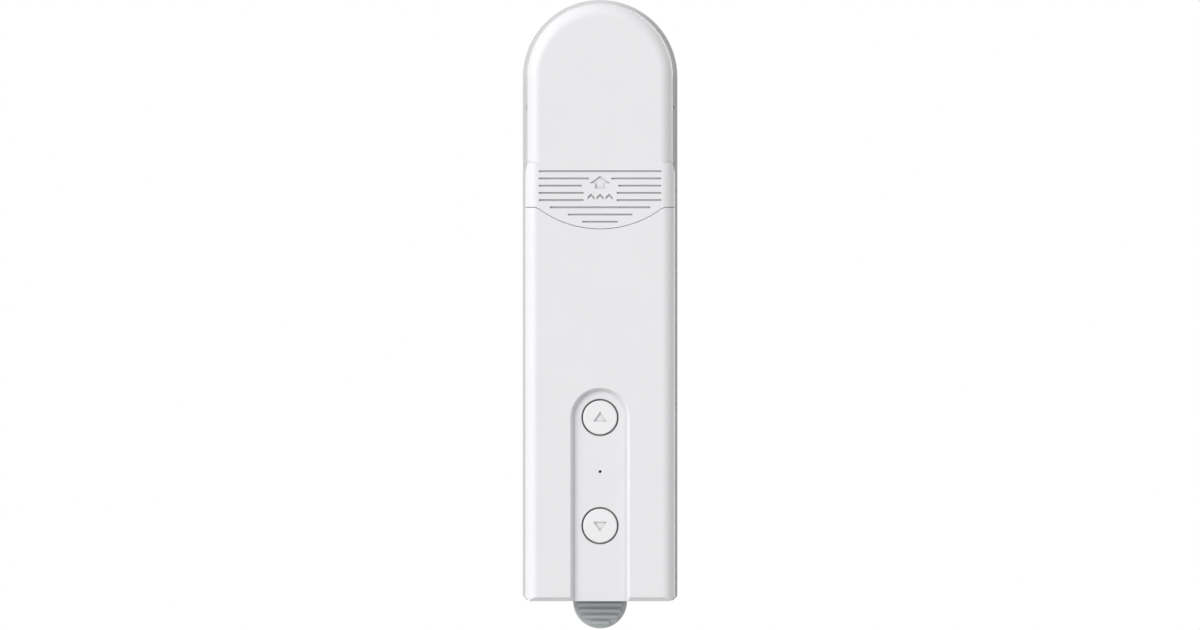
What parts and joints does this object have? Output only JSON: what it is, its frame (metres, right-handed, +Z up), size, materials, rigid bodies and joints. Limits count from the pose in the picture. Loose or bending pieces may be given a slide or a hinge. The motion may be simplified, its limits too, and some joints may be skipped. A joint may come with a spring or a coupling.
{
  "type": "roller shade motor",
  "caption": "Wall-mounted chain driver for a roller shade: slim arched body, sliding wheel cover, up and down buttons, release tab, wall bracket.",
  "frame": {"origin": "on the wall, on the bracket's back face, midway between its two screw holes", "axes": "+Z up the body and along the rail, +Y into the wall, the front faces -Y, +X to the viewer's right"},
  "size_m": [0.0534, 0.042, 0.2171],
  "materials": {
    "white_plastic": "satin moulded ABS, fine even grain",
    "cover_plastic": "satin moulded ABS, fine even grain",
    "button_plastic": "satin moulded ABS",
    "tab_plastic": "grey satin moulded nylon",
    "bracket_plastic": "satin moulded polycarbonate",
    "adhesive_foam": "closed-cell foam tape",
    "steel": "bright zinc-plated steel",
    "motor_steel": "drawn nickel-plated steel",
    "magnet": "sintered ferrite",
    "copper_brass": "turned brass",
    "gear_acetal": "natural acetal",
    "case_nylon": "black glass-filled nylon",
    "wheel_acetal": "light grey acetal",
    "cell_wrap": "shrink-wrapped steel can",
    "board": "solder-masked glass epoxy",
    "black_plastic": "black moulded epoxy and nylon",
    "shield": "tinned steel",
    "ferrite": "sintered ferrite",
    "capacitor": "drawn aluminium",
    "plug_plastic": "natural nylon",
    "lead_rubber": "soft silicone insulation",
    "light_pipe": "smoked polycarbonate"
  },
  "bodies": {
    "bracket": {"wall_bracket": "bracket_plastic", "adhesive_pads": "adhesive_foam"},
    "driver": {"board_capacitors": "capacitor", "board_screws": "steel", "cell_contacts": "shield", "cell_leads": "lead_rubber", "cell_left": "cell_wrap", "cell_right": "cell_wrap", "cell_tray": "black_plastic", "charge_chip": "black_plastic", "charging_port": "shield", "deck_screws": "steel", "down_switch_body": "black_plastic", "driver_chip": "black_plastic", "front_bush": "copper_brass", "front_shell": "white_plastic", "gear_case": "case_nylon", "gear_cover": "case_nylon", "gear_pins": "steel", "gearbox_screws": "steel", "hall_board": "board", "lead_plugs": "plug_plastic", "light_guide": "light_pipe", "main_board": "board", "motor_can": "motor_steel", "motor_end_cap": "black_plastic", "motor_leads": "lead_rubber", "motor_magnets": "magnet", "motor_screws": "steel", "power_inductor": "ferrite", "radio_module": "shield", "rear_bush": "copper_brass", "rear_shell": "white_plastic", "release_pin": "steel", "release_spring": "steel", "shell_screws": "steel", "status_led": "plug_plastic", "up_switch_body": "black_plastic"},
    "cover": {"sliding_cover": "cover_plastic"},
    "output": {"output_gear": "gear_acetal", "output_shaft": "steel", "chain_wheel": "wheel_acetal", "wheel_washer": "steel", "wheel_screw": "steel"},
    "gear_1": {"compound_gear_1": "gear_acetal"},
    "gear_2": {"compound_gear_2": "gear_acetal"},
    "gear_3": {"compound_gear_3": "gear_acetal"},
    "rotor": {"motor_shaft": "steel", "motor_pinion": "copper_brass", "encoder_magnet": "magnet", "rotor_core": "motor_steel", "commutator": "copper_brass"},
    "up_button": {"up_button": "button_plastic", "up_switch_plunger": "plug_plastic"},
    "down_button": {"down_button": "button_plastic", "down_switch_plunger": "plug_plastic"},
    "release_tab": {"release_tab": "tab_plastic"}
  },
  "joints": [
    {"name": "driver_slide", "type": "slide", "parent": "bracket", "child": "driver", "axis": [0, 0, 1], "range_m": [0, 0.165]},
    {"name": "cover_slide", "type": "slide", "parent": "driver", "child": "cover", "axis": [0, 0, 1], "range_m": [0, 0.08]},
    {"name": "wheel_spin", "type": "hinge", "parent": "driver", "child": "output", "pos_m": [0, 0, 0.07685], "axis": [0, 1, 0], "continuous": true},
    {"name": "gear_3_spin", "type": "hinge", "parent": "driver", "child": "gear_3", "pos_m": [0, 0, 0.05285], "axis": [0, 1, 0], "continuous": true},
    {"name": "gear_2_spin", "type": "hinge", "parent": "driver", "child": "gear_2", "pos_m": [0, 0, 0.03205], "axis": [0, 1, 0], "continuous": true},
    {"name": "gear_1_spin", "type": "hinge", "parent": "driver", "child": "gear_1", "pos_m": [0, 0, 0.01645], "axis": [0, 1, 0], "continuous": true},
    {"name": "rotor_spin", "type": "hinge", "parent": "driver", "child": "rotor", "pos_m": [0, 0, 0.00395], "axis": [0, 1, 0], "continuous": true},
    {"name": "up_button_press", "type": "slide", "parent": "driver", "child": "up_button", "axis": [0, 1, 0], "range_m": [0, 0.0006], "stiffness_N_per_m": 400, "springref_m": -0.003},
    {"name": "down_button_press", "type": "slide", "parent": "driver", "child": "down_button", "axis": [0, 1, 0], "range_m": [0, 0.0006], "stiffness_N_per_m": 400, "springref_m": -0.003},
    {"name": "release_tab_press", "type": "hinge", "parent": "driver", "child": "release_tab", "pos_m": [0, -0.012, -0.09], "axis": [1, 0, 0], "range_deg": [0, 8], "stiffness_Nm_per_rad": 0.02, "springref_deg": -20.05, "deforming": ["release_spring"]}
  ],
  "couplings": [
    {"joint": "gear_1_spin", "follows": "rotor_spin", "ratio": -0.25},
    {"joint": "gear_2_spin", "follows": "rotor_spin", "ratio": 0.075},
    {"joint": "gear_3_spin", "follows": "rotor_spin", "ratio": -0.0225},
    {"joint": "wheel_spin", "follows": "rotor_spin", "ratio": 0.0075}
  ]
}
